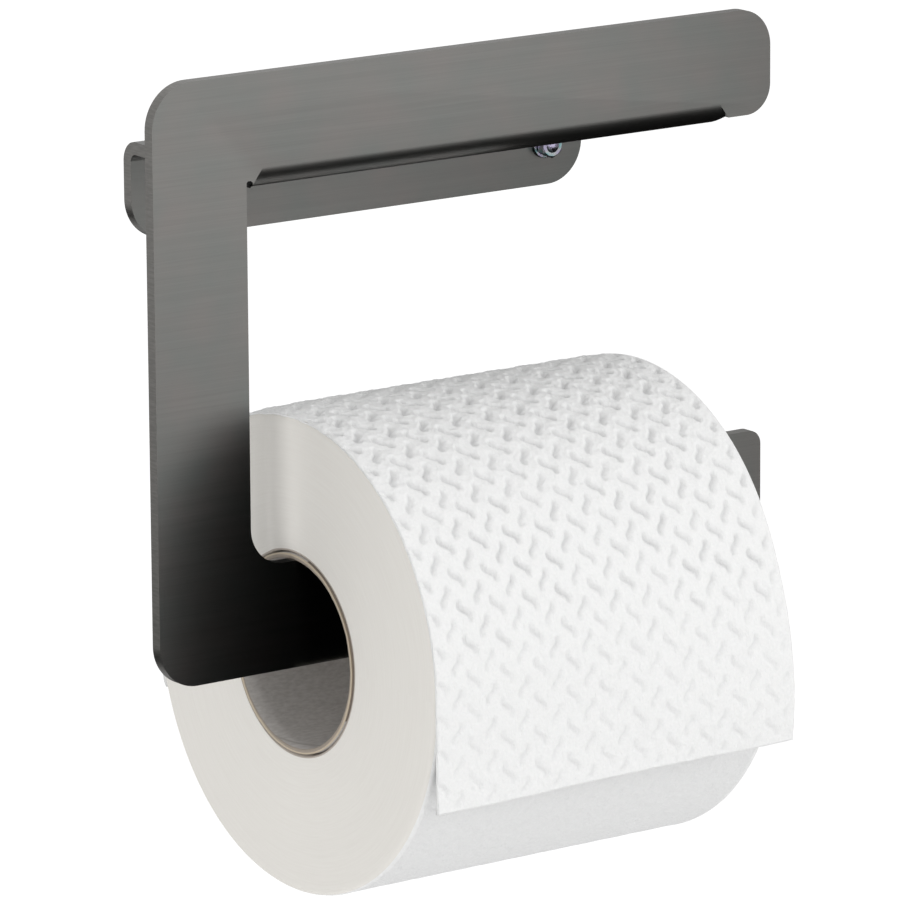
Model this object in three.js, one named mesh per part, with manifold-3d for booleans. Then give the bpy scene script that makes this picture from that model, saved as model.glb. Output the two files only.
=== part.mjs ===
// Wall-mounted toilet paper holder: one folded sheet of brushed stainless steel that
// carries a roll on its lower arm, fixed to the wall by two stick-on threaded adapters.
// Units are millimetres. +X runs right along the wall, +Y into the wall, +Z up.
// The origin lies on the wall's face, midway between the two studs.
import * as THREE from 'three';
import { mergeVertices } from 'three/addons/utils/BufferGeometryUtils.js';
import Module from 'manifold-3d';

const wasm = await Module();
wasm.setup();

// ---- driving dimensions -------------------------------------------------
const GAP = 0.3;              // clearance kept between pieces that touch

const SHEET = 3;              // thickness of the folded steel sheet
const BAND = 25;              // width of the bar, the upright and the lower arm
const LEFT = -94;             // left edge of the front plate
const BAR_LENGTH = 173.5;     // top bar, left edge to right edge
const ARM_LENGTH = 171;       // lower arm, left edge to the tip's right edge
const HEIGHT = 138;           // bottom of the lower arm to the top of the bar
const TIP_RISE = 12;          // how far the upturned tip stands above the arm
const BEND_INNER = 2;         // inside radius of both folds
const PLATE_WIDTH = 129;      // width of the flange and of the wall plate
const PLATE_DEPTH = 57;       // front face of the front plate to the wall plate's back
const PLATE_BOTTOM = -10;     // lower edge of the wall plate
const FLANGE_BOTTOM = 11;     // underside of the flange
const BAR_BOTTOM = 12.5;      // lower edge of the top bar

const STUD_SPACING = 107;     // distance between the two studs
const STUD_RADIUS = 1.5;      // M3 thread
const BORE_RADIUS = STUD_RADIUS + GAP;
const PLATE_HOLE_RADIUS = 2;
const ADAPTER_RADIUS = 8;
const ADAPTER_THICKNESS = 3;
const ADAPTER_FLOOR = 0.8;    // plastic left between the stud's end and the wall
const WASHER_RADIUS = 3.5;
const WASHER_THICKNESS = 0.5;
const NUT_ACROSS_FLATS = 5.5;
const NUT_THICKNESS = 2.4;
const STUD_PROUD = 0.8;       // thread showing past the nut

const ROLL_LEFT = -57;        // left end face of the roll
const ROLL_WIDTH = 98;
const CORE_INNER = 22.5;
const CORE_WALL = 1.2;
const ROLL_RADIUS = 55.6;
const SHEET_PAPER = 0.8;      // solid that stands for the loose outer sheet
const TAIL_DROP = 25;         // how far the loose end hangs below the roll's axis
const TAIL_FLARE = 3;         // how far its lower edge stands away from the roll
const WRAP_DEGREES = 200;     // how far the loose sheet reaches round the roll

// ---- places worked out from them ---------------------------------------
const plateBack = -ADAPTER_THICKNESS - GAP;
const plateFront = plateBack - SHEET;
const frontFace = plateBack - PLATE_DEPTH;
const frontBack = frontFace + SHEET;
const bendOuter = BEND_INNER + SHEET;
const bottom = BAR_BOTTOM + BAND - HEIGHT;
const armTop = bottom + BAND;
const barTop = BAR_BOTTOM + BAND;
const halfPlate = PLATE_WIDTH / 2;
const uprightRight = LEFT + BAND;
const barRight = LEFT + BAR_LENGTH;
const tipRight = LEFT + ARM_LENGTH;
const axisY = frontFace + SHEET / 2;
const axisZ = armTop - CORE_INNER + 0.4;

// ---- colours ------------------------------------------------------------
const STEEL = { color: 0x77767a, roughness: 0.42, metalness: 1 };
const ZINC = { color: 0xb9c0c6, roughness: 0.25, metalness: 1 };
const CLEAR = { color: 0xe4ecee, roughness: 0.15, metalness: 0 };
const CARDBOARD = { color: 0xa79c90, roughness: 0.9, metalness: 0 };
const PAPER_END = { color: 0xd6d2ca, roughness: 1, metalness: 0 };
const PAPER = { color: 0xf4f4f2, roughness: 1, metalness: 0 };

// ---- helpers ------------------------------------------------------------
// A closed solid for cutting and joining, made from a three.js geometry.
function solid(geometry) {
  const bare = geometry.index ? geometry.toNonIndexed() : geometry.clone();
  bare.deleteAttribute('normal');
  bare.deleteAttribute('uv');
  const merged = mergeVertices(bare, 1e-4);
  return new wasm.Manifold(new wasm.Mesh({
    numProp: 3,
    vertProperties: new Float32Array(merged.attributes.position.array),
    triVerts: new Uint32Array(merged.index.array),
  }));
}

// The three.js geometry of a solid.
function geometryOf(manifold) {
  const mesh = manifold.getMesh();
  const geometry = new THREE.BufferGeometry();
  geometry.setAttribute('position', new THREE.BufferAttribute(mesh.vertProperties, 3));
  geometry.setIndex(new THREE.BufferAttribute(mesh.triVerts, 1));
  return geometry;
}

// A closed outline through corners [a, b, radius], each rounded by its radius.
function roundedShape(corners) {
  const shape = new THREE.Shape();
  corners.forEach(([a, b, radius], i) => {
    const before = corners[(i + corners.length - 1) % corners.length];
    const after = corners[(i + 1) % corners.length];
    const corner = new THREE.Vector2(a, b);
    const back = new THREE.Vector2(before[0], before[1]).sub(corner).normalize();
    const on = new THREE.Vector2(after[0], after[1]).sub(corner).normalize();
    const draw = i === 0 ? 'moveTo' : 'lineTo';
    if (!radius) {
      shape[draw](a, b);
      return;
    }
    const half = Math.acos(back.dot(on)) / 2;
    const start = corner.clone().addScaledVector(back, radius / Math.tan(half));
    const end = corner.clone().addScaledVector(on, radius / Math.tan(half));
    const toCentre = back.clone().add(on).normalize();
    const centre = corner.clone().addScaledVector(toCentre, radius / Math.sin(half));
    shape[draw](start.x, start.y);
    const from = Math.atan2(start.y - centre.y, start.x - centre.x);
    const to = Math.atan2(end.y - centre.y, end.x - centre.x);
    shape.absarc(centre.x, centre.y, radius, from, to, back.cross(on) > 0);
  });
  shape.closePath();
  return shape;
}

// An outline in X and Z, given its thickness between two Y planes.
function plateY(shape, yLow, yHigh, segments = 6) {
  const depth = yHigh - yLow;
  const geometry = new THREE.ExtrudeGeometry(shape, { depth, bevelEnabled: false, curveSegments: segments });
  geometry.rotateX(Math.PI / 2);
  geometry.translate(0, yHigh, 0);
  return geometry;
}

// An outline in Y and Z, drawn along X from xLow to xHigh.
function barX(shape, xLow, xHigh, segments = 6) {
  const depth = xHigh - xLow;
  const geometry = new THREE.ExtrudeGeometry(shape, { depth, bevelEnabled: false, curveSegments: segments });
  geometry.applyMatrix4(new THREE.Matrix4().makeBasis(
    new THREE.Vector3(0, 1, 0),
    new THREE.Vector3(0, 0, 1),
    new THREE.Vector3(1, 0, 0),
  ));
  geometry.translate(xLow, 0, 0);
  return geometry;
}

// A cylinder along Y, for holes and round pieces on the studs.
function rodY(radius, yLow, yHigh, x, z, sides = 32) {
  const geometry = new THREE.CylinderGeometry(radius, radius, yHigh - yLow, sides);
  geometry.translate(x, (yLow + yHigh) / 2, z);
  return geometry;
}

function ringShape(outer, inner) {
  const shape = new THREE.Shape();
  shape.absarc(axisY, axisZ, outer, 0, 2 * Math.PI, false);
  const hole = new THREE.Path();
  hole.absarc(axisY, axisZ, inner, 0, 2 * Math.PI, true);
  shape.holes.push(hole);
  return shape;
}

function addMesh(parent, name, geometry, look) {
  const mesh = new THREE.Mesh(geometry, new THREE.MeshStandardMaterial(look));
  mesh.name = name;
  parent.add(mesh);
}

// ---- the folded bracket -------------------------------------------------
// The front plate is a C: top bar, upright on the left, lower arm with an upturned tip.
// Between the wall plate's two ends its top bar stops where the fold begins.
function frontPlate() {
  const foldStart = FLANGE_BOTTOM + bendOuter;
  const tipTop = armTop + TIP_RISE;
  return solid(plateY(roundedShape([
    [LEFT, bottom, 10],
    [tipRight, bottom, 10],
    [tipRight, tipTop, 3.5],
    [tipRight - BAND, tipTop, 3.5],
    [tipRight - BAND, armTop, 5],
    [uprightRight, armTop, 9],
    [uprightRight, BAR_BOTTOM, 0],
    [-halfPlate, BAR_BOTTOM, 0],
    [-halfPlate, foldStart, 0],
    [halfPlate, foldStart, 0],
    [halfPlate, BAR_BOTTOM, 0],
    [barRight, BAR_BOTTOM, 7],
    [barRight, barTop, 9],
    [LEFT, barTop, 10.5],
  ]), frontFace, frontBack));
}

// The sheet folds back from the bar to the wall and down again into the wall plate.
function foldedTab() {
  const root = FLANGE_BOTTOM + bendOuter;
  const flangeTop = FLANGE_BOTTOM + SHEET;
  const profile = roundedShape([
    [frontFace, root + 2, 0],
    [frontFace, FLANGE_BOTTOM, bendOuter],
    [plateFront, FLANGE_BOTTOM, BEND_INNER],
    [plateFront, PLATE_BOTTOM, 0],
    [plateBack, PLATE_BOTTOM, 0],
    [plateBack, flangeTop, bendOuter],
    [frontBack, flangeTop, BEND_INNER],
    [frontBack, root + 2, 0],
  ]);
  const outline = roundedShape([
    [-halfPlate, PLATE_BOTTOM, 10],
    [halfPlate, PLATE_BOTTOM, 10],
    [halfPlate, barTop, 0],
    [-halfPlate, barTop, 0],
  ]);
  const mask = solid(plateY(outline, frontFace - 1, 0));
  return solid(barX(profile, -halfPlate, halfPlate)).intersect(mask);
}

// Small cuts at both ends of the fold let the sheet bend without tearing.
function reliefCuts() {
  const low = frontFace - 1;
  const high = frontBack + 1;
  const hole = solid(rodY(0.9, low, high, uprightRight + 0.9, BAR_BOTTOM, 20));
  const slot = roundedShape([
    [halfPlate, BAR_BOTTOM - 3, 0],
    [halfPlate + 1.6, BAR_BOTTOM - 3, 0],
    [halfPlate + 1.6, BAR_BOTTOM + 3.2, 0.79],
    [halfPlate, BAR_BOTTOM + 3.2, 0.79],
  ]);
  return hole.add(solid(plateY(slot, low, high)));
}

function bracket() {
  let body = frontPlate().add(foldedTab()).subtract(reliefCuts());
  for (const side of [-1, 1]) {
    const x = side * STUD_SPACING / 2;
    body = body.subtract(solid(rodY(PLATE_HOLE_RADIUS, plateFront - 1, plateBack + 1, x, 0)));
  }
  return geometryOf(body);
}

// ---- what fixes it to the wall -----------------------------------------
function adapter(x) {
  const disc = solid(rodY(ADAPTER_RADIUS, -ADAPTER_THICKNESS, 0, x, 0, 48));
  const bore = solid(rodY(BORE_RADIUS, -ADAPTER_THICKNESS - 1, -ADAPTER_FLOOR, x, 0));
  return geometryOf(disc.subtract(bore));
}

function washer(x) {
  const high = plateFront - GAP;
  const low = high - WASHER_THICKNESS;
  const disc = solid(rodY(WASHER_RADIUS, low, high, x, 0, 40));
  return geometryOf(disc.subtract(solid(rodY(BORE_RADIUS, low - 1, high + 1, x, 0))));
}

function nut(x) {
  const high = plateFront - WASHER_THICKNESS - 2 * GAP;
  const low = high - NUT_THICKNESS;
  const corner = NUT_ACROSS_FLATS / Math.sqrt(3);
  const hex = solid(rodY(corner, low, high, x, 0, 6));
  return geometryOf(hex.subtract(solid(rodY(BORE_RADIUS, low - 1, high + 1, x, 0))));
}

function stud(x) {
  const tip = plateFront - WASHER_THICKNESS - 2 * GAP - NUT_THICKNESS - STUD_PROUD;
  return rodY(STUD_RADIUS, tip, -ADAPTER_FLOOR - GAP, x, 0, 24);
}

// ---- the roll -----------------------------------------------------------
function coreTube() {
  return barX(ringShape(CORE_INNER + CORE_WALL, CORE_INNER), ROLL_LEFT, ROLL_LEFT + ROLL_WIDTH, 32);
}

function paperRoll() {
  const inner = CORE_INNER + CORE_WALL + GAP;
  return barX(ringShape(ROLL_RADIUS, inner), ROLL_LEFT, ROLL_LEFT + ROLL_WIDTH, 48);
}

// The loose outer sheet lies over the back and top of the roll, and its end hangs in front.
function paperTail() {
  const inner = ROLL_RADIUS + GAP;
  const outer = inner + SHEET_PAPER;
  const end = Math.PI - THREE.MathUtils.degToRad(WRAP_DEGREES);
  const shape = new THREE.Shape();
  shape.moveTo(axisY - inner - TAIL_FLARE, axisZ - TAIL_DROP);
  shape.absarc(axisY, axisZ, inner, Math.PI, end, true);
  shape.absarc(axisY, axisZ, outer, end, Math.PI, false);
  shape.lineTo(axisY - outer - TAIL_FLARE, axisZ - TAIL_DROP);
  shape.closePath();
  return barX(shape, ROLL_LEFT, ROLL_LEFT + ROLL_WIDTH, 32);
}

// ---- the assembly -------------------------------------------------------
const holder = new THREE.Group();
addMesh(holder, 'bracket', bracket(), STEEL);
for (const [side, sign] of [['left', -1], ['right', 1]]) {
  const x = sign * STUD_SPACING / 2;
  addMesh(holder, `wall_adapter_${side}`, adapter(x), CLEAR);
  addMesh(holder, `stud_${side}`, stud(x), ZINC);
  addMesh(holder, `washer_${side}`, washer(x), ZINC);
  addMesh(holder, `nut_${side}`, nut(x), ZINC);
}
const roll = new THREE.Group();
addMesh(roll, 'core_tube', coreTube(), CARDBOARD);
addMesh(roll, 'paper_roll', paperRoll(), PAPER_END);
addMesh(roll, 'paper_tail', paperTail(), PAPER);
holder.add(roll);

export default holder;
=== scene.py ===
"""The looks of a folded steel toilet paper holder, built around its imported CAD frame.

Lengths are in metres; MM turns millimetres into them. The row frame has its origin on the
wall's face midway between the studs, +X right, +Y into the wall and +Z up.
"""
import math

import bmesh
import bpy
import numpy as np
from mathutils import Matrix, Vector


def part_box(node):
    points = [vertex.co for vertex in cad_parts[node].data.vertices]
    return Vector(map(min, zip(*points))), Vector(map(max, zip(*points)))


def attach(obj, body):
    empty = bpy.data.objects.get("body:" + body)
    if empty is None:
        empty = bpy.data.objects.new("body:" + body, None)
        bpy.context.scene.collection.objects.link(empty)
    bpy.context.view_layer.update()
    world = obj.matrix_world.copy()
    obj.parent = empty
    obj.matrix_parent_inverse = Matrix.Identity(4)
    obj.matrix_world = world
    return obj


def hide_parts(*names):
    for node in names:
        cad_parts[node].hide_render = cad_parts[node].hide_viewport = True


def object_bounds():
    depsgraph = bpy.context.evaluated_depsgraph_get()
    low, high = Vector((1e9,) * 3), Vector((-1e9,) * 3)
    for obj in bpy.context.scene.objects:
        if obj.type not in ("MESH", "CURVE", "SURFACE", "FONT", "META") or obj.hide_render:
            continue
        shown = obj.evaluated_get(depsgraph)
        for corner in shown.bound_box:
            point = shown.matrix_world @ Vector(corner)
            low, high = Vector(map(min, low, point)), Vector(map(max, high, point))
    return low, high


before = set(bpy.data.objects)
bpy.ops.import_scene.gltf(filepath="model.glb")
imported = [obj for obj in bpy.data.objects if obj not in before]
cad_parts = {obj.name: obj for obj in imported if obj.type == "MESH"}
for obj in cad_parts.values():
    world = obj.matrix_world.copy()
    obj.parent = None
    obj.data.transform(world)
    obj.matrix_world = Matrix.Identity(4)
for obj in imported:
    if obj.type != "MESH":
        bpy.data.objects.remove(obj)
cad_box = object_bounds()

MM = 0.001
TURN = 2 * math.pi
WHITE = (1, 1, 1, 1)

# ---- the bracket's own sizes, as in the CAD source ----------------------
SHEET = 3 * MM
BAND = 25 * MM
ARM_LENGTH = 171 * MM
TIP_RISE = 12 * MM
BEND_INNER = 2 * MM
PLATE_WIDTH = 129 * MM
PLATE_BOTTOM = -10 * MM
FLANGE_BOTTOM = 11 * MM
PLATE_HOLE_RADIUS = 2 * MM
EDGE_BEVEL = 0.35 * MM
FOLD_SLANT = 2.7 * MM        # how far the fold's ends slant out below the bar
RELIEF_SHADE_RADIUS = 5 * MM       # how far the painted shade reaches round the relief hole
SHADE_START = -50 * MM       # the Y at which the sheet's painted shade starts, towards the wall
SHADE_REACH = 42 * MM        # how much further back it is darkest

# ---- the fasteners' own sizes --------------------------------------------
THREAD_PITCH = 0.5 * MM
THREAD_DEPTH = 0.25 * MM
STUD_SEGMENTS = 32
ROUND_SEGMENTS = 64
NUT_SEGMENTS = 96
NUT_FACE = 0.96              # the nut's flat end, as a share of its width across flats
ADAPTER_FLOOR = 0.8 * MM
ADAPTER_BORE_GAP = 0.3 * MM

# ---- the roll's own sizes ------------------------------------------------
CORE_WALL = 1.2 * MM
CORE_BEVEL = 0.2 * MM
ROLL_EDGE = 1.5 * MM         # the rounding of the wound roll's edges
SAG_DEPTH = 1.35 * MM        # how far the soft roll bulges low at its back
SAG_ANGLE = math.radians(236)
SAG_WIDTH = math.radians(45)

# ---- the loose sheet's own sizes -----------------------------------------
WRAP_DEGREES = 200           # how far the loose sheet reaches round the roll
TAIL_DROP = 25.2 * MM        # how far its end hangs below the roll's axis
SHEET_LIFT = 0.45 * MM       # the loose sheet's middle above the roll below it
SHEET_THICKNESS = 0.4 * MM
SHEET_LIP = 1.4 * MM         # how far the sheet's edges are turned in, to show its thickness
SHEET_STEP = 0.47 * MM       # the distance between its points

# ---- the quilting --------------------------------------------------------
DASH_ACROSS = 9.05 * MM      # distance between like dashes across the sheet
DASH_ALONG = 7.76 * MM       # distance between rows of dashes along the sheet
DASH_START = 5.75 * MM       # the first column's distance from the sheet's left edge
DASH_DEPTH = 0.82 * MM
DASH_SOFTNESS = 0.53 * MM
DASH_SEED = 5
BACK_DEPTH = 1.35            # how much deeper the quilting is behind the roll than on its top

# ---- small helpers -------------------------------------------------------


def mesh_object(name, points, faces, smooth=True):
    """An object from points and faces, shaded smooth unless smooth is False."""
    mesh = bpy.data.meshes.new(name)
    mesh.from_pydata([tuple(p) for p in points], [], faces)
    mesh.validate()
    mesh.update()
    if smooth:
        mesh.polygons.foreach_set("use_smooth", [True] * len(mesh.polygons))
    piece = bpy.data.objects.new(name, mesh)
    bpy.context.scene.collection.objects.link(piece)
    return piece


def grid_faces(rows, columns, close_rows=False, close_columns=False):
    """Quads between the points of a rows x columns grid, whose last may join its first."""
    row = np.arange(rows if close_rows else rows - 1)
    column = np.arange(columns if close_columns else columns - 1)
    r, c = (a.ravel() for a in np.meshgrid(row, column, indexing="ij"))
    r2, c2 = (r + 1) % rows, (c + 1) % columns
    corners = [r * columns + c, r * columns + c2, r2 * columns + c2, r2 * columns + c]
    return np.stack(corners, 1).tolist()


def centre_of(node):
    low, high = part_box(node)
    return (low + high) / 2


def rings_along_y(centre, profile, count):
    """Rings of points round a line along Y through centre, one for each (radius, y) of the profile."""
    angles = np.linspace(0, TURN, count, endpoint=False)
    return [(centre.x + r * math.cos(t), y, centre.z + r * math.sin(t)) for r, y in profile for t in angles]


def end_faces(rings, count):
    """The two faces that close the ends of a tube of rings."""
    last = (rings - 1) * count
    return [list(range(count))[::-1], [last + k for k in range(count)]]


def smoothstep(t):
    t = np.clip(t, 0, 1)
    return t * t * (3 - 2 * t)


def wavy(x, scale, seed):
    """A smooth random wave along x, between about -1 and 1, that changes over scale."""
    rates, damping, total = (1.0, 1.7, 2.9, 4.3), 0.6, 2.2
    phases = np.random.default_rng(seed).uniform(0, TURN, len(rates))
    waves = [np.sin(x / scale * rate + phase) / (1 + i * damping)
             for i, (rate, phase) in enumerate(zip(rates, phases))]
    return sum(waves) / total


# ---- materials -----------------------------------------------------------


class Nodes:
    """A material's node tree, with short calls to add and join its nodes."""

    def __init__(self, name):
        self.material = bpy.data.materials.new(name)
        self.material.use_nodes = True
        self.tree = self.material.node_tree
        self.shader = self.tree.nodes["Principled BSDF"]

    def add(self, kind, **settings):
        node = self.tree.nodes.new(kind)
        for key, value in settings.items():
            setattr(node, key, value)
        return node

    def join(self, source, target):
        self.tree.links.new(source, target)

    def set(self, **values):
        """Set the shader's inputs, whose names are written with underscores."""
        for key, value in values.items():
            name = key.replace("_", " ").title().replace("Ior", "IOR")
            self.shader.inputs[name].default_value = value

    def math(self, operation, a, b=None, clamp=False):
        node = self.add("ShaderNodeMath", operation=operation, use_clamp=clamp)
        for socket, value in zip(node.inputs, (a, b)):
            if value is None:
                continue
            if isinstance(value, (int, float)):
                socket.default_value = value
            else:
                self.join(value, socket)
        return node.outputs[0]

    def place(self):
        """The point's place in the object's own coordinates, which are the frame's."""
        return self.add("ShaderNodeTexCoord").outputs["Object"]

    def split(self, vector):
        node = self.add("ShaderNodeSeparateXYZ")
        self.join(vector, node.inputs[0])
        return node.outputs

    def faces_end(self, normal, threshold):
        """1 where the surface faces along X, as the roll's ends do, and 0 elsewhere."""
        turned = self.split(self.add("ShaderNodeNewGeometry").outputs[normal])
        return self.math("GREATER_THAN", self.math("ABSOLUTE", turned["X"]), threshold)

    def rescale(self, value, factor, offset):
        return self.math("ADD", self.math("MULTIPLY", value, factor), offset)

    def mapping(self, source, scale=(1, 1, 1)):
        node = self.add("ShaderNodeMapping")
        node.inputs["Scale"].default_value = scale
        self.join(source, node.inputs["Vector"])
        return node.outputs["Vector"]

    def noise(self, vector, scale, detail=2.0, roughness=0.5):
        node = self.add("ShaderNodeTexNoise")
        node.inputs["Scale"].default_value = scale
        node.inputs["Detail"].default_value = detail
        node.inputs["Roughness"].default_value = roughness
        self.join(vector, node.inputs["Vector"])
        return node.outputs["Fac"]

    def ramp(self, value, stops):
        node = self.add("ShaderNodeValToRGB")
        elements = node.color_ramp.elements
        while len(elements) < len(stops):
            elements.new(0.5)
        for element, (at, colour) in zip(elements, stops):
            element.position = at
            element.color = (*colour, 1)
        self.join(value, node.inputs["Fac"])
        return node.outputs["Color"]

    def mix(self, factor, a, b, blend="MIX"):
        """A mix of two colours; the node's colour sockets are its seventh and eighth."""
        node = self.add("ShaderNodeMix", data_type="RGBA", blend_type=blend)
        sockets = (node.inputs[0], node.inputs[6], node.inputs[7])
        for socket, value in zip(sockets, (factor, a, b)):
            if isinstance(value, (int, float)):
                socket.default_value = value
            elif isinstance(value, tuple):
                socket.default_value = (*value, 1)
            else:
                self.join(value, socket)
        return node.outputs[2]

    def bump(self, height, distance, strength=1.0):
        node = self.add("ShaderNodeBump")
        node.inputs["Strength"].default_value = strength
        node.inputs["Distance"].default_value = distance
        self.join(height, node.inputs["Height"])
        self.join(node.outputs["Normal"], self.shader.inputs["Normal"])


def steel_material():
    """Anthracite brushed sheet: fine streaks along X over a faint warm and cool cloudiness.

    Its colour is painted darker towards the wall, as painted shade where less of the room is mirrored in it.
    """
    n = Nodes("brushed_anthracite")
    n.set(metallic=1.0, anisotropic=0.55, anisotropic_rotation=0.25)
    tangent = n.add("ShaderNodeTangent", direction_type="UV_MAP", uv_map="sheet")
    n.join(tangent.outputs[0], n.shader.inputs["Tangent"])
    uv = n.add("ShaderNodeUVMap", uv_map="sheet").outputs["UV"]
    streaks = n.noise(n.mapping(uv, (30, 3200, 1)), 1.0, detail=3.0, roughness=0.6)
    bands = n.noise(n.mapping(uv, (12, 700, 1)), 1.0, detail=2.0)
    clouds = n.noise(n.mapping(uv, (1, 1, 1)), 70.0, detail=2.0)
    tint = n.ramp(clouds, [(0.3, (0.192, 0.199, 0.190)), (0.7, (0.214, 0.203, 0.194))])
    grain = n.math("ADD", n.math("MULTIPLY", streaks, 0.22), n.math("MULTIPLY", bands, 0.14))
    colour = n.mix(1.0, tint, n.math("ADD", grain, 0.82), "MULTIPLY")
    # Painted shade: the base colour is mixed towards near black towards the wall.
    depth = n.split(n.place())["Y"]
    wall_shade = n.math("MULTIPLY", n.math("SUBTRACT", depth, SHADE_START), 1 / SHADE_REACH, clamp=True)
    colour = n.mix(n.math("MULTIPLY", wall_shade, 0.23), colour, (0.02, 0.02, 0.02))
    n.join(colour, n.shader.inputs["Base Color"])
    n.join(n.rescale(streaks, 0.08, 0.265), n.shader.inputs["Roughness"])
    n.bump(streaks, 0.012 * MM, 0.5)
    return n.material


def cut_edge_material(relief):
    """The sheet's laser-cut edge, browner than its faces, with painted shade (near black) round the relief
    hole.
    """
    n = Nodes("cut_steel_edge")
    n.set(metallic=1.0)
    at = n.place()
    lines = n.noise(n.mapping(at, (1, 0.12, 1)), 2600.0, detail=2.0)
    metal = n.ramp(lines, [(0.35, (0.205, 0.200, 0.190)), (0.7, (0.265, 0.258, 0.245))])
    # Painted shade: the cut edges round the relief hole and the fold's slanted end are made near black.
    apart = n.add("ShaderNodeVectorMath", operation="DISTANCE")
    n.join(at, apart.inputs[0])
    apart.inputs[1].default_value = relief
    relief_shade = n.math("LESS_THAN", apart.outputs["Value"], RELIEF_SHADE_RADIUS)
    n.join(n.mix(relief_shade, metal, (0.012, 0.012, 0.012)), n.shader.inputs["Base Color"])
    n.join(n.rescale(lines, 0.15, 0.30), n.shader.inputs["Roughness"])
    n.bump(lines, 0.01 * MM, 0.5)
    return n.material


def zinc_material():
    """Bright zinc plating with the faint blue and lilac of its passivation."""
    n = Nodes("passivated_zinc")
    n.set(metallic=1.0)
    at = n.place()
    film = n.noise(at, 420.0, detail=1.0)
    blue, grey, lilac = (0.22, 0.40, 0.42), (0.46, 0.47, 0.48), (0.40, 0.37, 0.50)
    n.join(n.ramp(film, [(0.40, blue), (0.5, grey), (0.60, lilac)]), n.shader.inputs["Base Color"])
    fine = n.noise(at, 5000.0, detail=2.0)
    n.join(n.rescale(fine, 0.2, 0.16), n.shader.inputs["Roughness"])
    n.bump(fine, 0.02 * MM, 0.4)
    return n.material


def clear_plastic_material():
    """Clear moulded plastic, its gloss a little uneven."""
    n = Nodes("clear_plastic")
    n.set(base_color=(0.86, 0.90, 0.91, 1), transmission_weight=0.8, ior=1.49)
    mist = n.noise(n.place(), 900.0, detail=2.0)
    n.join(n.rescale(mist, 0.15, 0.1), n.shader.inputs["Roughness"])
    return n.material


def round_the_axis(n, axis):
    """The place along the roll's axis, the distance from it and the angle round it."""
    at = n.split(n.place())
    y = n.math("SUBTRACT", at["Y"], axis[0])
    z = n.math("SUBTRACT", at["Z"], axis[1])
    radius = n.math("SQRT", n.math("ADD", n.math("MULTIPLY", y, y), n.math("MULTIPLY", z, z)))
    return at["X"], radius, n.math("ARCTAN2", z, y)


def board_material(axis, outer):
    """Grey-brown core board, with the spiral seam of its winding and a brown glue line.

    Its colour is painted paler from its left end deeper into the tube, as painted light against the shade
    inside it.
    """
    n = Nodes("core_board")
    n.set(roughness=0.9, specular_ior_level=0.2)
    along, radius, angle = round_the_axis(n, axis)
    fibres = n.noise(n.mapping(n.place(), (0.4, 1, 1)), 1500.0, detail=3.0)
    board = n.ramp(fibres, [(0.3, (0.56, 0.53, 0.50)), (0.7, (0.70, 0.67, 0.64))])
    # Painted light: the board's colour is multiplied from 0.78 at the left end up to 1.4 deeper in.
    painted_light_inwards = n.math("MULTIPLY", n.math("ADD", along, 60 * MM), 10.0)
    board = n.mix(1.0, board, n.ramp(painted_light_inwards, [(0.0, (0.78,) * 3), (0.6, (1.4,) * 3)]), "MULTIPLY")
    turns = n.math("ADD", n.math("MULTIPLY", along, 14.0), n.math("MULTIPLY", angle, 1 / TURN))
    seam = n.math("LESS_THAN", n.math("FRACT", turns), 0.012)
    board = n.mix(n.math("MULTIPLY", seam, 0.45), board, (0.30, 0.27, 0.24))
    on_end = n.faces_end("True Normal", 0.3)
    at_middle = n.math("GREATER_THAN", radius, outer - 0.85 * MM)
    board = n.mix(on_end, board, n.mix(at_middle, (0.36, 0.31, 0.26), (0.55, 0.47, 0.36)))
    glue = n.math("GREATER_THAN", radius, outer - 0.3 * MM)
    board = n.mix(n.math("MULTIPLY", glue, 0.75), board, (0.12, 0.08, 0.05))
    n.join(board, n.shader.inputs["Base Color"])
    height = n.math("SUBTRACT", n.math("MULTIPLY", fibres, 0.25), seam)
    n.bump(height, 0.12 * MM, 0.7)
    return n.material


def tissue(n):
    """White tissue's colour, with painted shade in the quilting's grooves and under the roll, and its soft
    relief.
    """
    at = n.place()
    painted_shade = n.add("ShaderNodeAttribute", attribute_name="painted_shade").outputs["Fac"]
    fibres = n.noise(at, 1600.0, detail=4.0, roughness=0.6)
    crumple = n.noise(n.mapping(at, (1.0, 1.0, 0.6)), 480.0, detail=3.0, roughness=0.6)
    paper = n.ramp(fibres, [(0.3, (0.885, 0.888, 0.885)), (0.7, (0.93, 0.93, 0.925))])
    # Painted shade: the quilting's grooves and the roll's underside are mixed towards grey.
    colour = n.mix(n.math("MULTIPLY", painted_shade, 0.31), paper, (0.56, 0.56, 0.57))
    return colour, n.math("ADD", n.math("MULTIPLY", fibres, 0.12), crumple)


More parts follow.
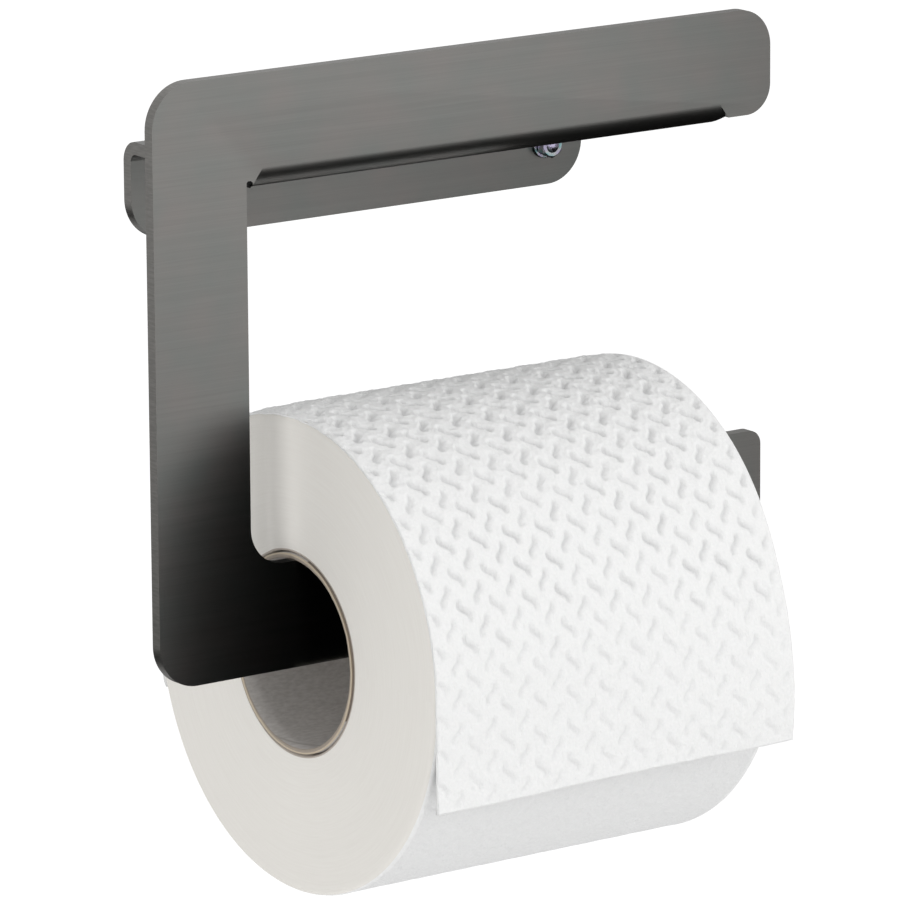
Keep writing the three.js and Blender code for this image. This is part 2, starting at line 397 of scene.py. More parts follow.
def wound_paper_material(axis, core):
    """The roll's body: fine rings on its ends, and quilted tissue round its side."""
    n = Nodes("wound_tissue")
    n.set(roughness=0.95, specular_ior_level=0.1)
    _, radius, angle = round_the_axis(n, axis)
    polar = n.add("ShaderNodeCombineXYZ")
    n.join(n.math("MULTIPLY", radius, 2200.0), polar.inputs[0])
    n.join(n.math("MULTIPLY", angle, 3.0), polar.inputs[1])
    rings = n.noise(polar.outputs[0], 1.0, detail=3.0, roughness=0.6)
    side, relief = tissue(n)
    on_end = n.faces_end("Normal", 0.6)
    end = n.ramp(rings, [(0.25, (0.825, 0.80, 0.755)), (0.75, (0.86, 0.84, 0.795))])
    near_core = n.math("LESS_THAN", radius, core + 0.5 * MM)
    end = n.mix(n.math("MULTIPLY", near_core, 0.55), end, (0.30, 0.22, 0.16))
    n.join(n.mix(on_end, side, end), n.shader.inputs["Base Color"])
    end_relief = n.math("MULTIPLY", n.math("MULTIPLY", rings, on_end), 0.045)
    side_relief = n.math("MULTIPLY", relief, n.math("SUBTRACT", 1.0, on_end))
    n.bump(n.math("ADD", end_relief, side_relief), 1.0 * MM, 0.7)
    return n.material


def quilted_paper_material():
    """The loose sheet's tissue, with a faint sheen of stray fibres."""
    n = Nodes("quilted_tissue")
    n.set(roughness=0.95, specular_ior_level=0.1, sheen_weight=0.1)
    colour, relief = tissue(n)
    n.join(colour, n.shader.inputs["Base Color"])
    n.bump(relief, 1.0 * MM, 0.7)
    return n.material


def glowing_material(name, strength, stops=None, axis="Z"):
    """A light card, whose strength may change along one of its own axes."""
    n = Nodes(name)
    n.set(base_color=(0, 0, 0, 1), roughness=1.0, specular_ior_level=0.0)
    n.set(emission_color=WHITE, emission_strength=strength)
    if stops:
        share = n.split(n.add("ShaderNodeTexCoord").outputs["Generated"])[axis]
        n.join(n.ramp(share, stops), n.shader.inputs["Emission Color"])
    return n.material


def paint(piece, *materials):
    piece.data.materials.clear()
    for material in materials:
        piece.data.materials.append(material)


# ---- the bracket ---------------------------------------------------------


def rounded_outline(corners, step=0.09):
    """Points round a closed outline of (a, b, radius) corners."""
    points = []
    for i, (a, b, radius) in enumerate(corners):
        corner = np.array((a, b))
        back = np.array(corners[i - 1][:2]) - corner
        on = np.array(corners[(i + 1) % len(corners)][:2]) - corner
        if not radius:
            points.append(tuple(corner))
            continue
        back, on = back / np.linalg.norm(back), on / np.linalg.norm(on)
        half = math.acos(back @ on) / 2
        middle = (back + on) / np.linalg.norm(back + on)
        centre = corner + middle * radius / math.sin(half)
        start = corner + back * radius / math.tan(half) - centre
        turn = math.pi - 2 * half
        sign = 1 if back[0] * on[1] - back[1] * on[0] < 0 else -1
        count = max(2, math.ceil(turn / step))
        for k in range(count + 1):
            angle = sign * turn * k / count
            c, s = math.cos(angle), math.sin(angle)
            points.append(tuple(centre + (c * start[0] - s * start[1], s * start[0] + c * start[1])))
    return points


def fold_profile(low, high):
    """(y, z) down the room-facing side of both bends, from the bar to the wall plate."""
    front, plate_front = low.y, high.y - SHEET
    outer = BEND_INNER + SHEET
    root = FLANGE_BOTTOM + outer
    steps = 10
    points = []
    for k in range(steps + 1):
        turn = math.pi / 2 * k / steps
        points.append((front + outer - outer * math.cos(turn), root - outer * math.sin(turn)))
    for k in range(steps + 1):
        turn = math.pi / 2 * k / steps
        y = plate_front - BEND_INNER + BEND_INNER * math.sin(turn)
        points.append((y, FLANGE_BOTTOM - BEND_INNER + BEND_INNER * math.cos(turn)))
    return points


def front_outline(low, high, root):
    """The front plate's outline, round the C of bar, upright and arm, and down to the fold's root."""
    half = PLATE_WIDTH / 2
    arm_top, tip_right = low.z + BAND, low.x + ARM_LENGTH
    tip_top, bar_bottom, upright = arm_top + TIP_RISE, high.z - BAND, low.x + BAND
    relief = [(upright + 1.8 * MM * a, bar_bottom + 0.9 * MM * b, 0)
              for a, b in ((0.5, -0.9), (0.9, -0.2), (0.95, 0.35), (0.6, 0.9), (0.2, 0.85), (0, 0.4))]
    return rounded_outline([
        (low.x, low.z, 10 * MM), (tip_right, low.z, 10 * MM),
        (tip_right, tip_top, 3.5 * MM), (tip_right - BAND, tip_top, 3.5 * MM),
        (tip_right - BAND, arm_top, 5 * MM), (upright, arm_top, 9 * MM),
        *relief[::-1], (-half - FOLD_SLANT, bar_bottom, 0), (-half, root, 0),
        (half, root, 0), (half + FOLD_SLANT, bar_bottom, 0),
        (high.x, bar_bottom, 7 * MM), (high.x, high.z, 9 * MM), (low.x, high.z, 10.5 * MM),
    ])


def face_the_room(bm):
    """Turn all faces of the surface the same way, towards the room or down."""
    bm.normal_update()
    for face in bm.faces:
        if face.normal.y > 0.01 and abs(face.normal.z) < 0.5:
            face.normal_flip()
    bmesh.ops.recalc_face_normals(bm, faces=bm.faces)
    if bm.faces[:][0].normal.y > 0:
        for face in bm.faces:
            face.normal_flip()


def lay_flat(bm, front_y):
    """The map "sheet" that runs across and down the unfolded sheet."""
    uv = bm.loops.layers.uv.new("sheet")
    for face in bm.faces:
        for loop in face.loops:
            x, y, z = loop.vert.co
            loop[uv].uv = (x, z - (y - front_y))


def closed_edges(bm, verts):
    """The edges that join the vertices in a closed ring."""
    return [bm.edges.get((a, b)) or bm.edges.new((a, b)) for a, b in zip(verts, verts[1:] + verts[:1])]


def hole_rim(bm, centre, y):
    """The edges of the wall plate's round hole for a stud."""
    angles = np.linspace(0, TURN, 40, endpoint=False)
    return closed_edges(bm, [bm.verts.new((centre.x + PLATE_HOLE_RADIUS * math.cos(t), y,
                                           centre.z + PLATE_HOLE_RADIUS * math.sin(t))) for t in angles])


def bracket_surface(low, high):
    """The folded sheet's room-facing surface: front plate, both bends and wall plate."""
    half, plate_front = PLATE_WIDTH / 2, high.y - SHEET
    bar_bottom = high.z - BAND
    root = FLANGE_BOTTOM + BEND_INNER + SHEET
    points = [(x, low.y, z) for x, z in front_outline(low, high, root)]
    faces = [list(range(len(points)))]
    left = [points.index((-half, low.y, root))]
    right = [points.index((half, low.y, root))]
    profile = fold_profile(low, high)
    middle_y = (low.y + high.y) / 2
    for y, z in profile[1:]:
        slant = min(1, (root - z) / (root - bar_bottom)) * FOLD_SLANT if y < middle_y else 0
        trim = max(0, bar_bottom - z) / (bar_bottom - FLANGE_BOTTOM) * FOLD_SLANT
        left.append(len(points))
        points.append((-half - slant, y, z))
        right.append(len(points))
        points.append((half + max(0, slant - trim), y, z))
    for k in range(len(profile) - 1):
        faces.append([left[k], right[k], right[k + 1], left[k + 1]])
    lower = rounded_outline([(-half, PLATE_BOTTOM, 10 * MM), (half, PLATE_BOTTOM, 10 * MM),
                             (half, profile[-1][1], 0), (-half, profile[-1][1], 0)])[:-2]
    plate = [len(points) + k for k in range(len(lower))]
    points += [(x, plate_front, z) for x, z in lower]
    bm = bmesh.new()
    verts = [bm.verts.new(p) for p in points]
    for face in faces:
        bm.faces.new([verts[i] for i in face])
    edges = closed_edges(bm, [verts[i] for i in plate] + [verts[right[-1]], verts[left[-1]]])
    for side in ("left", "right"):
        edges += hole_rim(bm, centre_of(f"stud_{side}"), plate_front)
    bmesh.ops.triangle_fill(bm, edges=edges, use_beauty=True)
    return bm


def build_bracket():
    """One folded sheet: its room-facing surface, thickened towards the wall and edge-bevelled."""
    low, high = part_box("bracket")
    bm = bracket_surface(low, high)
    face_the_room(bm)
    lay_flat(bm, low.y)
    mesh = bpy.data.meshes.new("steel_bracket")
    bm.to_mesh(mesh)
    bm.free()
    piece = bpy.data.objects.new("steel_bracket", mesh)
    bpy.context.scene.collection.objects.link(piece)
    relief = (low.x + BAND + 2 * MM, low.y, high.z - BAND)
    paint(piece, steel_material(), cut_edge_material(relief))
    thick = piece.modifiers.new("thickness", "SOLIDIFY")
    thick.thickness, thick.offset, thick.use_even_offset = SHEET, -1, True
    thick.material_offset_rim = 1
    bevel = piece.modifiers.new("edges", "BEVEL")
    bevel.width, bevel.segments, bevel.limit_method = EDGE_BEVEL, 3, "ANGLE"
    bevel.angle_limit = math.radians(50)
    bevel.harden_normals = True
    bevel.material = 1
    mesh.polygons.foreach_set("use_smooth", [True] * len(mesh.polygons))
    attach(piece, "holder")
    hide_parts("bracket")


# ---- the fasteners -------------------------------------------------------


def rounded_section(inner, outer, y_low, y_high, bevel, steps=3):
    """The closed section of a flat ring, its four corners rounded by bevel."""
    corners = [(inner, y_low), (outer, y_low), (outer, y_high), (inner, y_high)]
    return rounded_outline([(r, y, bevel) for r, y in corners], step=math.pi / 2 / steps)


def stud_radius():
    low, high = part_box("stud_left")
    return (high.x - low.x) / 2


def thread(centre, y_low, y_high, outer):
    """Rings of a screw thread along Y, whose radius rises and falls along the helix."""
    rows = math.ceil((y_high - y_low) / (THREAD_PITCH / 6))
    points = []
    for k in range(rows + 1):
        y = y_low + (y_high - y_low) * k / rows
        from_end = min(k, rows - k) / 4
        for t in np.linspace(0, TURN, STUD_SEGMENTS, endpoint=False):
            phase = (y / THREAD_PITCH - t / TURN) % 1
            radius = outer - THREAD_DEPTH * abs(2 * phase - 1)
            radius = min(radius, outer - 0.45 * MM * (1 - min(1, from_end)))
            points.append((centre.x + radius * math.cos(t), y, centre.z + radius * math.sin(t)))
    return points, rows + 1


def build_stud(side, material):
    """A threaded stud with pointed-off ends."""
    node = f"stud_{side}"
    low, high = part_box(node)
    centre, outer = (low + high) / 2, (high.x - low.x) / 2
    points, rows = thread(centre, low.y, high.y, outer)
    faces = grid_faces(rows, STUD_SEGMENTS, False, True) + end_faces(rows, STUD_SEGMENTS)
    piece = mesh_object(f"threaded_stud_{side}", points, faces)
    finish_piece(piece, "holder", node, material)


def build_washer(side, material):
    """A flat washer with rounded edges."""
    node = f"washer_{side}"
    low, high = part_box(node)
    centre, outer = (low + high) / 2, (high.x - low.x) / 2
    section = rounded_section(stud_radius() + 0.15 * MM, outer, low.y, high.y, 0.12 * MM)
    points = rings_along_y(centre, section, ROUND_SEGMENTS)
    piece = mesh_object(f"steel_washer_{side}", points, grid_faces(len(section), ROUND_SEGMENTS, True, True))
    finish_piece(piece, "holder", node, material)


def build_nut(side, material):
    """A hex nut: each ring of points follows the hexagon, cut back by the 30 degree chamfer."""
    node = f"nut_{side}"
    low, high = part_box(node)
    centre, size = (low + high) / 2, high - low
    flats = min(size.x, size.z)
    count = NUT_SEGMENTS
    angles = np.linspace(0, TURN, count, endpoint=False)
    turn = 0 if size.x > size.z else math.pi / 6
    within = (angles - turn) % (math.pi / 3) - math.pi / 6
    hexagon = flats / 2 / np.cos(within)
    flat_edge = np.full(count, flats / 2 * NUT_FACE)
    chamfer = (hexagon - flats / 2 * NUT_FACE) * math.tan(math.radians(30))
    bore = np.full(count, stud_radius() + 0.08 * MM)
    mouth = np.full(count, stud_radius() + 0.3 * MM)
    rings = [
        (bore, low.y + 0.25 * MM), (mouth, low.y), (flat_edge, low.y), (hexagon, low.y + chamfer),
        (hexagon, high.y - chamfer), (flat_edge, high.y), (mouth, high.y), (bore, high.y - 0.25 * MM),
    ]
    points = []
    for radius, y in rings:
        y = np.broadcast_to(y, (count,))
        points += list(zip(centre.x + radius * np.cos(angles), y, centre.z + radius * np.sin(angles)))
    piece = mesh_object(f"hex_nut_{side}", points, grid_faces(len(rings), count, True, True))
    bevel = piece.modifiers.new("edges", "BEVEL")
    bevel.width, bevel.segments, bevel.limit_method = 0.1 * MM, 2, "ANGLE"
    bevel.harden_normals = True
    finish_piece(piece, "holder", node, material)


def build_adapter(side, material):
    """A clear disc bonded to the wall, with the stud's blind bore in its middle."""
    node = f"wall_adapter_{side}"
    low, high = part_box(node)
    centre, outer = (low + high) / 2, (high.x - low.x) / 2
    bore, bore_end = stud_radius() + ADAPTER_BORE_GAP, high.y - ADAPTER_FLOOR
    middle = 0.02 * MM
    rim = rounded_outline([(outer, high.y, 0.3 * MM), (outer, low.y, 0.7 * MM), (bore, low.y, 0.3 * MM)])
    profile = [(middle, high.y)] + rim[:-1] + [(bore, bore_end), (middle, bore_end)]
    points = rings_along_y(centre, profile, ROUND_SEGMENTS)
    faces = grid_faces(len(profile), ROUND_SEGMENTS, False, True) + end_faces(len(profile), ROUND_SEGMENTS)
    piece = mesh_object(f"adapter_disc_{side}", points, faces)
    finish_piece(piece, "holder", node, material)


def finish_piece(piece, body, node, material):
    """Face the piece outwards, paint it, and put it in its CAD node's place."""
    bm = bmesh.new()
    bm.from_mesh(piece.data)
    bmesh.ops.recalc_face_normals(bm, faces=bm.faces)
    bm.to_mesh(piece.data)
    bm.free()
    paint(piece, material)
    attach(piece, body)
    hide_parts(node)


# ---- the quilting --------------------------------------------------------


def dash_distance(u, v, tall, wide, sign):
    """How far (u, v) is from an S-shaped dash at the origin, whose ends curl upright."""
    curl = 1.35
    reach = np.clip(curl * v / tall, -1, 1)
    line = sign * wide * np.sin(reach * math.pi / 2)
    slope = curl * wide / tall * math.pi / 2 * np.cos(reach * math.pi / 2)
    across = (u - line) / np.sqrt(1 + slope * slope)
    beyond = np.clip(np.abs(v) - tall, 0, None)
    return np.hypot(across, beyond)


def quilting(u, s):
    """Height of the quilted pattern at u across and s along the sheet, and the painted shade in its grooves.

    Dashes of two slants stand in columns, each column half a row off its neighbours. Each
    dash has a low rim, and the paper between them is puffed up a little.
    """
    height = np.zeros_like(u)
    painted_shade = np.zeros_like(u)
    random = np.random.default_rng(DASH_SEED)
    shifts = random.normal(0, 0.10 * MM, (4, 64, 2))
    depths = random.uniform(0.8, 1.15, (2, 64, 64))
    for kind, (sign, offset_u, offset_s, tall, wide) in enumerate((
        (1, DASH_START, 0.0, 1.95 * MM, 0.95 * MM),
        (-1, DASH_START + DASH_ACROSS / 2, DASH_ALONG / 2, 1.9 * MM, 1.3 * MM),
    )):
        column = np.round((u - offset_u) / DASH_ACROSS).astype(int)
        row = np.round((s - offset_s) / DASH_ALONG).astype(int)
        du = u - offset_u - column * DASH_ACROSS + shifts[kind, row % 64, 0]
        ds = s - offset_s - row * DASH_ALONG + shifts[kind + 2, column % 64, 1]
        distance = dash_distance(du, ds, tall, wide, sign)
        deep = depths[kind, column % 64, row % 64] * (1.06 - 0.22 * np.clip(ds / tall, -1, 1) ** 2)
        near = np.exp(-(distance / DASH_SOFTNESS) ** 2) * deep
        rim = np.exp(-((distance - 2.3 * DASH_SOFTNESS) / (0.9 * DASH_SOFTNESS)) ** 2) * deep
        height += DASH_DEPTH * (0.22 * rim - near)
        # The painted shade follows each dash's groove.
        painted_shade = np.maximum(painted_shade, near)
    pillow = -np.cos(TURN * (u - DASH_START) / DASH_ACROSS) * np.cos(TURN * s / DASH_ALONG)
    height += DASH_DEPTH * 0.22 * pillow
    return height, painted_shade


def mark_painted_shade(piece, values):
    """Keep the painted shade at each point, for its material."""
    mark = piece.data.attributes.new("painted_shade", "FLOAT", "POINT")
    mark.data.foreach_set("value", values.astype(np.float32))


# ---- the roll ------------------------------------------------------------


def sag(angle):
    """How far the soft roll bulges low at its back; angles run from its front over its top."""
    off = (angle - SAG_ANGLE + math.pi) % TURN - math.pi
    return SAG_DEPTH * np.exp(-(off / SAG_WIDTH) ** 2)


def build_core():
    """A thin board tube, not quite round and with slightly ragged ends."""
    low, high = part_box("core_tube")
    centre, outer = (low + high) / 2, (high.z - low.z) / 2
    inner = outer - CORE_WALL
    count, rings = 180, 24
    angles = np.linspace(0, TURN, count, endpoint=False)
    out_of_round = 0.22 * MM * np.cos(2 * angles + 0.8) - 0.22 * MM
    ragged = 0.12 * MM * wavy(angles * 12, 1.0, 3) * 0.5
    points = []

    def ring(radius, x):
        r = radius + out_of_round
        points.extend(zip(x + ragged, centre.y + r * np.cos(angles), centre.z + r * np.sin(angles)))

    end = 0.06 * MM
    xs = np.linspace(low.x + CORE_BEVEL, high.x - CORE_BEVEL, rings)
    for x in xs:
        ring(inner, x)
    ring(inner + CORE_BEVEL, high.x - end)
    ring(outer - CORE_BEVEL, high.x - end)
    for x in xs[::-1]:
        ring(outer - 0.02 * MM, x)
    ring(outer - CORE_BEVEL, low.x + end)
    ring(inner + CORE_BEVEL, low.x + end)
    piece = mesh_object("cardboard_core", points, grid_faces(2 * rings + 4, count, True, True))
    finish_piece(piece, "roll", "core_tube", board_material((centre.y, centre.z), outer))


def end_relief(radius, angles, inner):
    """How far the wound roll's end face lies in from its plane: soft rings, lumps and one crease."""
    rings = 0.06 * MM * wavy(radius * 1e3, 3.0, 11) + 0.03 * MM * wavy(radius * 1e3, 0.9, 12)
    dish = -0.25 * MM * smoothstep((radius - inner) / (8 * MM)) + 0.25 * MM
    lumps = 0.10 * MM * np.cos(3 * angles + radius * 90) * smoothstep((radius - inner) / (10 * MM))
    back, up = -radius * np.cos(angles), radius * np.sin(angles)
    crease = np.exp(-((back - 11 * MM) / (2.4 * MM)) ** 2) * smoothstep((up - 16 * MM) / (8 * MM))
    return 0.15 * MM + rings + dish + lumps + 0.7 * MM * crease


def end_rows(inner, outer, angles):
    """Each row up one end face and round its edge: its depth from the end's plane, and its radius."""
    for radius in (inner, *np.arange(inner + 0.5 * MM, outer - ROLL_EDGE, 1.3 * MM)):
        yield end_relief(radius, angles, inner), radius
    at_edge = end_relief(outer, angles, inner)
    for t in np.linspace(0, math.pi / 2, 5):
        depth = at_edge * (1 - t / (math.pi / 2)) + ROLL_EDGE * (1 - math.cos(t))
        yield depth, outer - ROLL_EDGE + ROLL_EDGE * math.sin(t)


def build_roll_body():
    """The wound paper, quilted behind like the loose sheet and flattened underneath; grooves and underside
    get painted shade.

    It is sunk a little where the loose sheet covers it, and its points stand closer where
    the sheet doesn't.
    """
    low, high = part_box("paper_roll")
    centre, outer = (low + high) / 2, (high.z - low.z) / 2
    core_low, core_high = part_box("core_tube")
    core_outer = (core_high.z - core_low.z) / 2
    inner = core_outer + 0.05 * MM
    width = high.x - low.x
    bare_from = math.radians(WRAP_DEGREES - 12)
    angles = np.concatenate([np.linspace(0, bare_from, 110, endpoint=False),
                             np.linspace(bare_from, TURN, 290, endpoint=False)])
    count = len(angles)
    covered = smoothstep((bare_from + math.radians(4) - angles) / math.radians(8))
    covered = covered + smoothstep((angles - math.radians(335)) / math.radians(12))
    flattened = smoothstep((angles - math.radians(230)) / math.radians(45))
    plain = np.zeros(count)

    end = [(depth, np.full(count, radius)) for depth, radius in end_rows(inner, outer, angles)]
    rows = [(low.x + depth, radius, plain) for depth, radius in end]
    from_sheet = low.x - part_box("paper_tail")[0].x
    for u in np.linspace(ROLL_EDGE, width - ROLL_EDGE, 158)[1:-1]:
        from_edge = min(u, width - u)
        height, painted_shade = quilting(np.full(count, from_sheet + u), angles * (outer + SHEET_LIFT))
        fade = (1 - covered) * (1 - 0.9 * flattened) * smoothstep(from_edge / (3 * MM))
        sunk = 0.85 * MM * covered * smoothstep((from_edge - ROLL_EDGE) / (1.5 * MM))
        radius = outer - 0.1 * MM + BACK_DEPTH * height * fade - sunk
        # Painted shade for this row: the grooves' share, and more where the roll's underside is flattened.
        rows.append((np.full(count, low.x + u), radius, painted_shade * fade + 0.6 * flattened))
    rows += [(high.x - depth, radius, plain) for depth, radius in end[::-1]]
    points = []
    for x, radius, _ in rows:
        soft = radius + sag(angles) * (radius / outer) ** 2
        points.extend(zip(x, centre.y - soft * np.cos(angles), centre.z + soft * np.sin(angles)))
    piece = mesh_object("wound_paper", points, grid_faces(len(rows), count, True, True))
    mark_painted_shade(piece, np.concatenate([row[2] for row in rows]))
    material = wound_paper_material((centre.y, centre.z), core_outer)
    finish_piece(piece, "roll", "paper_roll", material)
    return centre, outer


def tail_length(u, width):
    """How far the loose end hangs, torn a little shorter towards its right end."""
    return TAIL_DROP + 0.4 * MM - 2.0 * MM * (u / width) + 0.18 * MM * wavy(u * 1e3, 9.0, 21)


def sheet_grid(width, wrap):
    """Points over the loose sheet: u across it, and s along it from where it leaves the roll.

    s is negative on the hanging end and grows over the top of the roll to its back.
    """
    u = np.linspace(0, width, math.ceil(width / SHEET_STEP) + 1)
    hang_rows, wrap_rows = math.ceil(TAIL_DROP / SHEET_STEP), math.ceil(wrap / SHEET_STEP)
    share = np.concatenate([np.linspace(-1, 0, hang_rows, endpoint=False), np.linspace(0, 1, wrap_rows + 1)])
    grid_u, grid_share = np.meshgrid(u, share)
    s = np.where(grid_share < 0, grid_share * tail_length(grid_u, width), grid_share * wrap)
    return grid_u, s


def sheet_relief(u, s, width, wrap):
    """The sheet's height above its middle surface, and the painted shade in its grooves.

    The quilting fades out at the edges and towards the hanging end. The front of the sheet
    is loose and wavy, and its far end settles onto the layer below.
    """
    height, painted_shade = quilting(u, s)
    margin = smoothstep((width - u) / (3 * MM)) * smoothstep((u + 0.3 * MM) / (1.6 * MM))
    margin = margin * smoothstep((s + tail_length(u, width)) / (1.5 * MM))
    top = 0.48 + 0.52 * smoothstep((s + 8 * MM) / (38 * MM))
    margin = margin * (top + (BACK_DEPTH - 1) * smoothstep((s - 40 * MM) / (35 * MM)))
    loose = 0.25 * MM * wavy(s * 1e3 + u * 400, 14.0, 31)
    loose = loose + 0.15 * MM * wavy(u * 1e3 - s * 300, 11.0, 32)
    height = height * margin + loose * smoothstep((20 * MM - s) / (60 * MM)) + 0.05 * MM
    height = height - 0.42 * MM * smoothstep((s - wrap + 34 * MM) / (24 * MM))
    height = height - 0.45 * MM * smoothstep((s - wrap + 1.5 * MM) / (1.5 * MM))
    pinched = np.exp(-u / (5 * MM)) * np.exp(-((s - 95 * MM) / (30 * MM)) ** 2)
    return height - 0.7 * MM * pinched, painted_shade * margin


def build_loose_sheet(centre, roll_radius):
    """The roll's outer sheet: round its back and top, then hanging free in front.

    Its edges are turned in by a narrow lip, which shows the paper's thickness.
    """
    low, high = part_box("paper_tail")
    width = high.x - low.x
    middle = roll_radius + SHEET_LIFT
    wrap = math.radians(WRAP_DEGREES) * middle
    grid_u, s = sheet_grid(width, wrap)
    height, painted_shade = sheet_relief(grid_u, s, width, wrap)

    def place(u_at, s_at, lift):
        free = np.clip(-s_at, 0, None)
        angle = np.clip(s_at, 0, None) / middle
        loosest = np.exp(-((s_at + 12 * MM) / (20 * MM)) ** 2)
        flare = 0.5 * MM * (free / TAIL_DROP) ** 2 + 4 * MM * (np.abs(u_at) / width) ** 2.5 * loosest
        radius = middle + lift + sag(angle)
        x = low.x + u_at
        y = centre.y - radius * np.cos(angle) - flare * np.cos(angle)
        z = centre.z + (radius + flare) * np.sin(angle) - free
        return np.stack([x, y, z], -1)

    def edge(side, painted_light_inwards):
        return place(grid_u[:, side] + painted_light_inwards, s[:, side], height[:, side] - SHEET_THICKNESS)

    left, right = slice(0, 1), slice(-1, None)
    whole = np.concatenate([edge(left, SHEET_LIP), edge(left, 0), place(grid_u, s, height),
                            edge(right, 0), edge(right, -SHEET_LIP)], 1)
    bottom = whole[:1] + np.array([0, SHEET_THICKNESS, 0])
    whole = np.concatenate([bottom + np.array([0, 0, SHEET_LIP]), bottom, whole], 0)
    shown = np.pad(painted_shade, ((2, 0), (2, 2)))
    piece = mesh_object("quilted_sheet", whole.reshape(-1, 3), grid_faces(*whole.shape[:2]))
    piece.data.flip_normals()
    mark_painted_shade(piece, shown.ravel())
    paint(piece, quilted_paper_material())
    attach(piece, "roll")
    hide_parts("paper_tail")


# ---- the studio ----------------------------------------------------------

# The camera looks at a point given from the middle of the bracket. All angles are in degrees.
LOOK_AT = Vector((-2.60, -24.61, -26.46)) * MM
AZIMUTH, ELEVATION, CAMERA_ROLL = -35.736, 13.085, -0.351
CAMERA_DISTANCE = 1.6421
LENS, SENSOR = 283.06, 36

# Each lamp's name, place from the object's middle, width and power in watts.
LAMPS = (
    ("key", (1.15, -1.1, 0.35), 0.5, 4.4),
    ("high_key", (0.4, -0.8, 1.25), 0.35, 4.6),
    ("left_fill", (-1.3, -0.5, 0.1), 0.7, 3.0),
)
# How bright the world and the floor are as light, and as the camera sees them.
WORLD_LIGHT, WORLD_SEEN = 0.64, 1.0
FLOOR_LIGHT, FLOOR_SEEN = 0.2, 0.55
FLOOR_HALF, FLOOR_DROP = 12.0, 0.55
TENT_RADIUS, TENT_BOTTOM, TENT_TOP = 0.9, -0.27, 1.0
TENT_LIGHT = 0.68


def build_camera(bracket_centre):
    """A long lens in front and to the left, a little above the holder, aimed by LOOK_AT."""
    camera = bpy.data.objects.new("camera", bpy.data.cameras.new("camera"))
    bpy.context.scene.collection.objects.link(camera)
    camera.data.sensor_width, camera.data.lens = SENSOR, LENS
    camera.data.clip_start, camera.data.clip_end = 0.05, 60
    a, e = math.radians(AZIMUTH), math.radians(ELEVATION)
    back = Vector((math.sin(a) * math.cos(e), -math.cos(a) * math.cos(e), math.sin(e)))
    turned = (-back).to_track_quat("-Z", "Y").to_matrix().to_4x4()
    roll = Matrix.Rotation(math.radians(CAMERA_ROLL), 4, "Z")
    stand = Matrix.Translation(bracket_centre + LOOK_AT + back * CAMERA_DISTANCE)
    camera.matrix_world = stand @ turned @ roll
    bpy.context.scene.camera = camera


def only_seen_in_gloss(card):
    """Stage a light card or flag that the camera and matt surfaces don't see."""
    card.visible_camera = False
    card.visible_diffuse = False
    card.visible_shadow = False
    card.visible_transmission = False
    card.visible_volume_scatter = False


def rectangle(name, width, height):
    w, h = width / 2, height / 2
    points = [(-w, -h, 0), (w, -h, 0), (w, h, 0), (-w, h, 0)]
    return mesh_object(name, points, [[0, 1, 2, 3]], smooth=False)


def flat_card(name, centre, facing, size, material):
    """A rectangle of size (width, height) at centre, facing a point."""
    card = rectangle(name, *size)
    turn = (facing - centre).to_track_quat("Z", "Y")
    card.matrix_world = Matrix.Translation(centre) @ turn.to_matrix().to_4x4()
    paint(card, material)
    only_seen_in_gloss(card)


def build_gloss_tent(centre):
    """What the steel mirrors: a tent of soft light all round, and brighter cards in it."""
    count = ROUND_SEGMENTS
    angles = np.linspace(0, TURN, count, endpoint=False)
    points = [(TENT_RADIUS * math.cos(t), TENT_RADIUS * math.sin(t), z)
              for z in (TENT_BOTTOM, TENT_TOP) for t in angles]
    tent = mesh_object("gloss_tent", points, grid_faces(2, count, False, True))
    tent.location = centre
    dimmer_right = [(0.78, (1, 1, 1)), (0.88, (0.45, 0.45, 0.45))]
    paint(tent, glowing_material("tent_light", TENT_LIGHT, dimmer_right, "X"))
    only_seen_in_gloss(tent)

    def ahead(degrees):
        aim = math.radians(degrees)
        return Vector((math.sin(aim), -math.cos(aim), 0))

    front = centre + ahead(14) * 0.75 + Vector((0, 0, 0.15))
    left = centre + ahead(-54) * 0.8 + Vector((0, 0, 0.05))
    for name, middle, facing, size, strength in (
        ("top", centre + Vector((0, 0, TENT_TOP)), centre, (2 * TENT_RADIUS, 2 * TENT_RADIUS), 1.3),
        ("front", front, front - ahead(14), (0.84, 0.76), 1.36),
        ("left", left, centre, (0.45, 0.7), 2.4),
        ("back", centre + Vector((0.0, 0.75, -0.55)), centre, (0.45, 0.4), 0.6),
    ):
        flat_card(f"gloss_{name}", middle, facing, size, glowing_material(f"{name}_light", strength))


def build_roll_flags():
    """A dark drum in the roll's place, so that the steel mirrors no bright paper.

    Two dark cards on either side of the arm do the same for the core.
    """
    low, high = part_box("paper_roll")
    centre = (low + high) / 2 + Vector((0, -6, -6)) * MM
    outer = (high.z - low.z) / 2 + 6 * MM
    count = ROUND_SEGMENTS
    angles = np.linspace(0, TURN, count, endpoint=False)
    points = [(x, centre.y + outer * math.cos(t), centre.z + outer * math.sin(t))
              for x in (low.x - 0.4 * MM, high.x) for t in angles]
    faces = grid_faces(2, count, False, True) + [list(range(count)), list(range(count, 2 * count))]
    flag = mesh_object("roll_flag", points, faces, smooth=False)
    black = glowing_material("flag_black", 0.0)
    paint(flag, black)
    only_seen_in_gloss(flag)
    steel_low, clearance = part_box("bracket")[0], 1.2 * MM
    bottom, top = steel_low.z, steel_low.z + BAND
    for side, y in (("front", steel_low.y - clearance), ("back", steel_low.y + SHEET + clearance)):
        points = [(low.x, y, bottom), (high.x, y, bottom), (high.x, y, top), (low.x, y, top)]
        shade = mesh_object(f"core_shade_{side}", points, [[0, 1, 2, 3]], smooth=False)
        paint(shade, black)
        only_seen_in_gloss(shade)


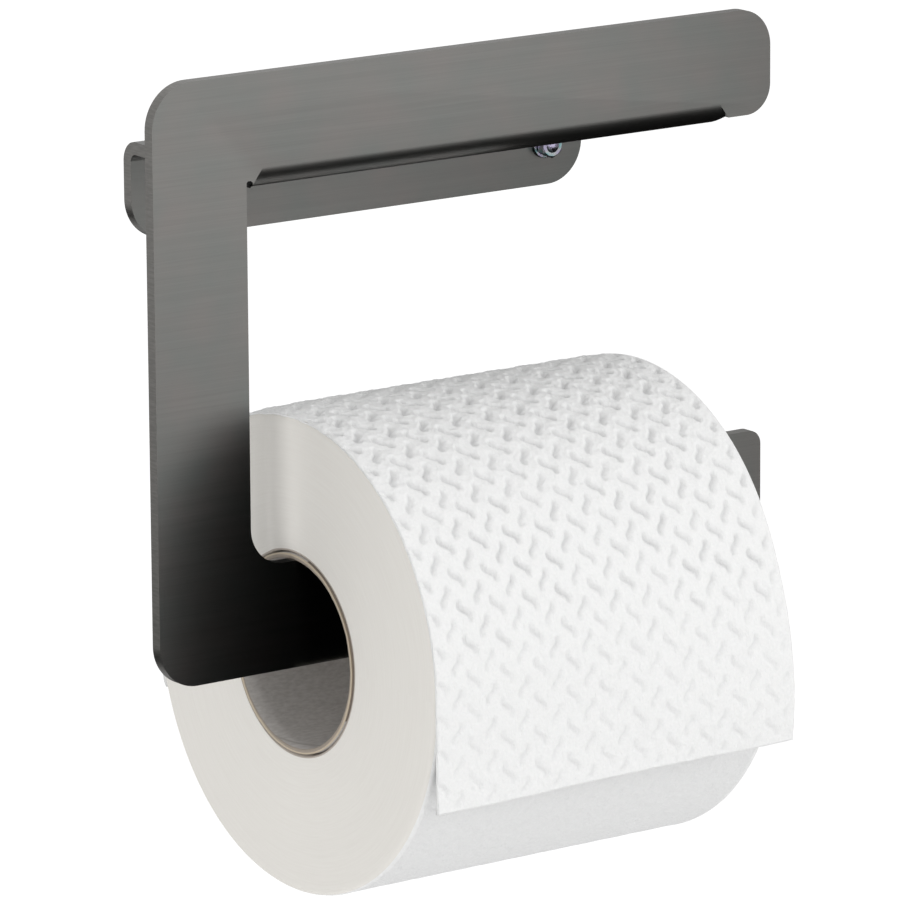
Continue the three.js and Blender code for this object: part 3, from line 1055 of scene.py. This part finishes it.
def area_light(name, centre, offset, size, power):
    """A soft square lamp, aimed at centre, that the steel doesn't mirror."""
    light = bpy.data.lights.new(name, "AREA")
    light.shape, light.size, light.energy = "SQUARE", size, power
    lamp = bpy.data.objects.new(name, light)
    bpy.context.scene.collection.objects.link(lamp)
    lamp.location = centre + Vector(offset)
    lamp.rotation_mode = "QUATERNION"
    lamp.rotation_quaternion = (-Vector(offset)).to_track_quat("-Z", "Y")
    lamp.visible_glossy = False


def light_or_seen(tree, target, as_light, as_seen):
    """Give the target socket one strength for light, and another for what the camera sees."""
    ray = tree.nodes.new("ShaderNodeLightPath")
    strength = tree.nodes.new("ShaderNodeMapRange")
    strength.inputs["To Min"].default_value = as_light
    strength.inputs["To Max"].default_value = as_seen
    tree.links.new(ray.outputs["Is Camera Ray"], strength.inputs["Value"])
    tree.links.new(strength.outputs[0], target)


def build_floor(centre):
    """A wide pale floor well below the holder, which hangs in the air as in a catalogue picture."""
    floor = rectangle("floor", 2 * FLOOR_HALF, 2 * FLOOR_HALF)
    floor.location = centre - Vector((0, 0, FLOOR_DROP))
    n = Nodes("pale_floor")
    n.set(base_color=(0.8, 0.8, 0.8, 1), roughness=1.0, specular_ior_level=0.0, emission_color=WHITE)
    light_or_seen(n.tree, n.shader.inputs["Emission Strength"], FLOOR_LIGHT, FLOOR_SEEN)
    paint(floor, n.material)
    floor.visible_glossy = False


def build_world():
    """Even ambient light, with a white background for the camera."""
    world = bpy.data.worlds.new("studio")
    bpy.context.scene.world = world
    world.use_nodes = True
    background = world.node_tree.nodes["Background"]
    background.inputs["Color"].default_value = WHITE
    light_or_seen(world.node_tree, background.inputs["Strength"], WORLD_LIGHT, WORLD_SEEN)
    world.cycles_visibility.glossy = False


def build_studio():
    low, high = cad_box
    centre = (low + high) / 2
    build_camera(centre_of("bracket"))
    build_world()
    build_floor(centre)
    build_gloss_tent(centre)
    build_roll_flags()
    for name, offset, size, power in LAMPS:
        area_light(name, centre, offset, size, power)
    bpy.context.scene.view_settings.view_transform = "Standard"
    bpy.context.scene.view_settings.look = "None"


# ---- build it all --------------------------------------------------------

build_bracket()
zinc = zinc_material()
clear = clear_plastic_material()
for side in ("left", "right"):
    build_stud(side, zinc)
    build_washer(side, zinc)
    build_nut(side, zinc)
    build_adapter(side, clear)
build_core()
roll_centre, roll_radius = build_roll_body()
build_loose_sheet(roll_centre, roll_radius)
build_studio()
